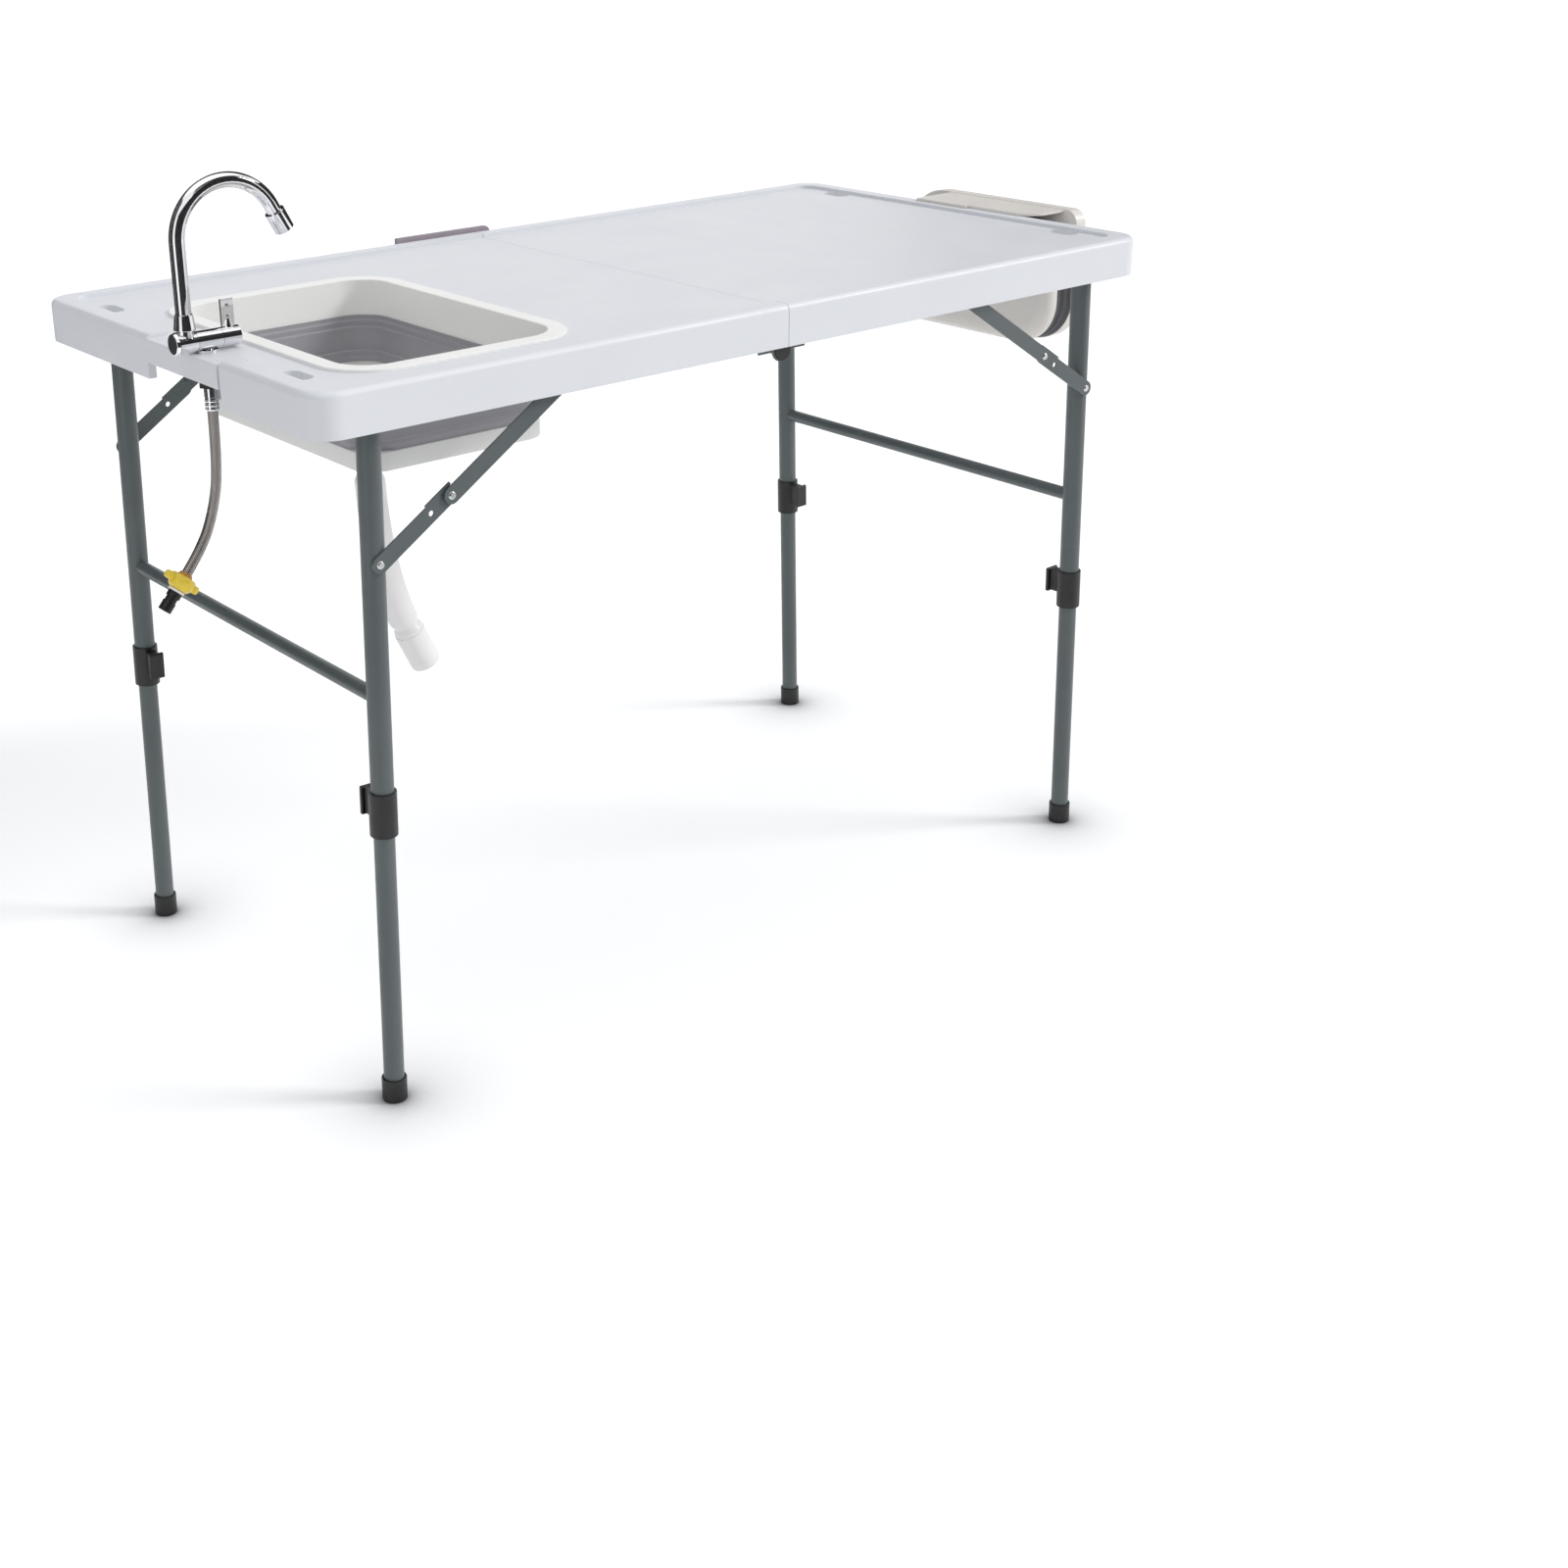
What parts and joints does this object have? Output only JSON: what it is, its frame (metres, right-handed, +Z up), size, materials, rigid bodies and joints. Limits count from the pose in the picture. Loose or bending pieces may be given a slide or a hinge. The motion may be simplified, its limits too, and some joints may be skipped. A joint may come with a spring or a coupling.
{
  "type": "camping sink stand",
  "caption": "Folding outdoor worktop on telescoping legs with a collapsible sink, a swivelling tap, a drain hose and a second hung basin.",
  "frame": {"origin": "floor level under the centre of the stand's bounding box, its cords left out", "axes": "+X along the worktop towards the plain end, the sink is at -X; +Y from the front long side to the back one; +Z up"},
  "size_m": [1.291, 0.606, 0.95],
  "materials": {
    "worktop_plastic": "fine satin",
    "frame_paint": "powder coated, satin",
    "black_plastic": "satin",
    "chrome_plate": "mirror",
    "zinc_steel": "zinc plated",
    "white_plastic": "gloss",
    "grey_soft": "soft matte",
    "dark_soft": "soft matte",
    "cream_plastic": "satin",
    "braided_steel": "braid",
    "yellow_plastic": "gloss",
    "mauve_plastic": "matte"
  },
  "bodies": {
    "left_top": {"left_panel": "worktop_plastic", "left_rails": "frame_paint", "centre_hinge_tube": "frame_paint", "centre_hinge_discs": "black_plastic", "carry_handle": "black_plastic", "back_edge_bar": "mauve_plastic", "faucet_body": "chrome_plate", "faucet_nut": "black_plastic", "inlet_ferrule": "chrome_plate", "inlet_hose": "braided_steel", "quick_coupler": "black_plastic"},
    "right_top": {"right_panel": "worktop_plastic", "right_rails": "frame_paint", "storage_clips": "black_plastic"},
    "left_frame": {"left_pivot_tube": "frame_paint", "left_upper_legs": "frame_paint", "left_cross_bar": "frame_paint", "left_leg_collars": "black_plastic", "left_leg_rivets": "zinc_steel", "left_tube_clips": "black_plastic"},
    "right_frame": {"right_pivot_tube": "frame_paint", "right_upper_legs": "frame_paint", "right_cross_bar": "frame_paint", "right_leg_collars": "black_plastic", "right_leg_rivets": "zinc_steel"},
    "left_lower_brace": {"left_lower_straps": "frame_paint"},
    "right_lower_brace": {"right_lower_straps": "frame_paint"},
    "left_upper_brace": {"left_upper_straps": "frame_paint", "left_knuckle_rivets": "zinc_steel"},
    "right_upper_brace": {"right_upper_straps": "frame_paint", "right_knuckle_rivets": "zinc_steel"},
    "spout_head": {"spout_head": "chrome_plate", "barrel_cap": "chrome_plate"},
    "spout": {"spout_collar": "chrome_plate", "spout_tube": "chrome_plate", "aerator": "chrome_plate"},
    "tap_handle": {"lever_handle": "chrome_plate"},
    "wing_nut": {"wing_nut": "yellow_plastic"},
    "sink": {"sink_rim": "white_plastic", "sink_wall": "grey_soft"},
    "sink_floor": {"sink_base": "white_plastic", "drain_fitting": "white_plastic", "drain_hose": "white_plastic", "drain_cuff": "white_plastic"},
    "drain_plug": {"drain_plug": "white_plastic"},
    "second_basin": {"second_basin_rim": "cream_plastic", "second_basin_wall": "dark_soft"},
    "second_basin_floor": {"second_basin_base": "cream_plastic"},
    "left_back_leg": {"left_back_lower_leg": "frame_paint", "left_back_foot": "black_plastic"},
    "left_back_lever": {"left_back_cam_lever": "black_plastic"},
    "left_front_leg": {"left_front_lower_leg": "frame_paint", "left_front_foot": "black_plastic"},
    "left_front_lever": {"left_front_cam_lever": "black_plastic"},
    "right_back_leg": {"right_back_lower_leg": "frame_paint", "right_back_foot": "black_plastic"},
    "right_back_lever": {"right_back_cam_lever": "black_plastic"},
    "right_front_leg": {"right_front_lower_leg": "frame_paint", "right_front_foot": "black_plastic"},
    "right_front_lever": {"right_front_cam_lever": "black_plastic"}
  },
  "joints": [
    {"name": "top_fold", "type": "hinge", "parent": "left_top", "child": "right_top", "pos_m": [-0.0272, -0.003, 0.728], "axis": [0, 1, 0], "range_deg": [0, 60]},
    {"name": "left_frame_fold", "type": "hinge", "parent": "left_top", "child": "left_frame", "pos_m": [-0.5327, -0.003, 0.748], "axis": [0, -1, 0], "range_deg": [0, 28]},
    {"name": "left_lower_brace_fold", "type": "hinge", "parent": "left_frame", "child": "left_lower_brace", "pos_m": [-0.53649, -0.003, 0.59805], "axis": [0, -1, 0], "range_deg": [0, 36.29]},
    {"name": "left_upper_brace_fold", "type": "hinge", "parent": "left_top", "child": "left_upper_brace", "pos_m": [-0.3062, -0.003, 0.748], "axis": [0, -1, 0], "range_deg": [-21.32, 0]},
    {"name": "left_back_leg_slide", "type": "slide", "parent": "left_frame", "child": "left_back_leg", "axis": [0.0253, 0, 0.9997], "range_m": [0, 0.25]},
    {"name": "left_back_lever_turn", "type": "hinge", "parent": "left_frame", "child": "left_back_lever", "pos_m": [-0.54273, 0.23635, 0.35113], "axis": [-0.9997, 0, 0.0253], "range_deg": [0, 100]},
    {"name": "left_front_leg_slide", "type": "slide", "parent": "left_frame", "child": "left_front_leg", "axis": [0.0253, 0, 0.9997], "range_m": [0, 0.25]},
    {"name": "left_front_lever_turn", "type": "hinge", "parent": "left_frame", "child": "left_front_lever", "pos_m": [-0.54273, -0.24235, 0.35113], "axis": [0.9997, 0, -0.0253], "range_deg": [0, 100]},
    {"name": "right_frame_fold", "type": "hinge", "parent": "right_top", "child": "right_frame", "pos_m": [0.4783, -0.003, 0.748], "axis": [0, 1, 0], "range_deg": [0, 86.5]},
    {"name": "right_lower_brace_fold", "type": "hinge", "parent": "right_frame", "child": "right_lower_brace", "pos_m": [0.48209, -0.003, 0.59805], "axis": [0, 1, 0], "range_deg": [0, 55.34]},
    {"name": "right_upper_brace_fold", "type": "hinge", "parent": "right_top", "child": "right_upper_brace", "pos_m": [0.2518, -0.003, 0.748], "axis": [0, 1, 0], "range_deg": [-31.8, 0]},
    {"name": "right_back_leg_slide", "type": "slide", "parent": "right_frame", "child": "right_back_leg", "axis": [-0.0253, 0, 0.9997], "range_m": [0, 0.25]},
    {"name": "right_back_lever_turn", "type": "hinge", "parent": "right_frame", "child": "right_back_lever", "pos_m": [0.48833, 0.23635, 0.35113], "axis": [-0.9997, 0, -0.0253], "range_deg": [0, 100]},
    {"name": "right_front_leg_slide", "type": "slide", "parent": "right_frame", "child": "right_front_leg", "axis": [-0.0253, 0, 0.9997], "range_m": [0, 0.25]},
    {"name": "right_front_lever_turn", "type": "hinge", "parent": "right_frame", "child": "right_front_lever", "pos_m": [0.48833, -0.24235, 0.35113], "axis": [0.9997, 0, 0.0253], "range_deg": [0, 100]},
    {"name": "spout_head_fold", "type": "hinge", "parent": "left_top", "child": "spout_head", "pos_m": [-0.6082, -0.058, 0.788], "axis": [1, 0, 0], "range_deg": [0, 84]},
    {"name": "spout_swivel", "type": "hinge", "parent": "spout_head", "child": "spout", "pos_m": [-0.6082, -0.058, 0.801], "axis": [0, 0, 1], "range_deg": [-170, 170]},
    {"name": "tap_handle_turn", "type": "hinge", "parent": "left_top", "child": "tap_handle", "pos_m": [-0.5612, -0.058, 0.788], "axis": [1, 0, 0], "range_deg": [0, 84]},
    {"name": "wing_nut_spin", "type": "hinge", "parent": "left_top", "child": "wing_nut", "pos_m": [-0.6362, -0.061, 0.549], "axis": [-0.6641, -0.0277, -0.7471], "continuous": true},
    {"name": "sink_lift", "type": "slide", "parent": "left_top", "child": "sink", "axis": [0, 0, 1], "range_m": [0, 0.1]},
    {"name": "sink_collapse", "type": "slide", "parent": "sink", "child": "sink_floor", "axis": [0, 0, 1], "range_m": [0, 0.045], "deforming": ["sink_wall"]},
    {"name": "drain_plug_lift", "type": "slide", "parent": "sink_floor", "child": "drain_plug", "axis": [0, 0, 1], "range_m": [0, 0.04]},
    {"name": "second_basin_lift", "type": "slide", "parent": "right_top", "child": "second_basin", "axis": [0, 0, 1], "range_m": [0, 0.06]},
    {"name": "second_basin_collapse", "type": "slide", "parent": "second_basin", "child": "second_basin_floor", "axis": [1, 0, 0], "range_m": [0, 0.02], "deforming": ["second_basin_wall"]}
  ],
  "couplings": [
    {"joint": "left_lower_brace_fold", "follows": "left_frame_fold", "ratio": 1.2942},
    {"joint": "left_upper_brace_fold", "follows": "left_frame_fold", "ratio": -0.75975},
    {"joint": "right_lower_brace_fold", "follows": "right_frame_fold", "ratio": 0.63913},
    {"joint": "right_upper_brace_fold", "follows": "right_frame_fold", "ratio": -0.36703}
  ]
}
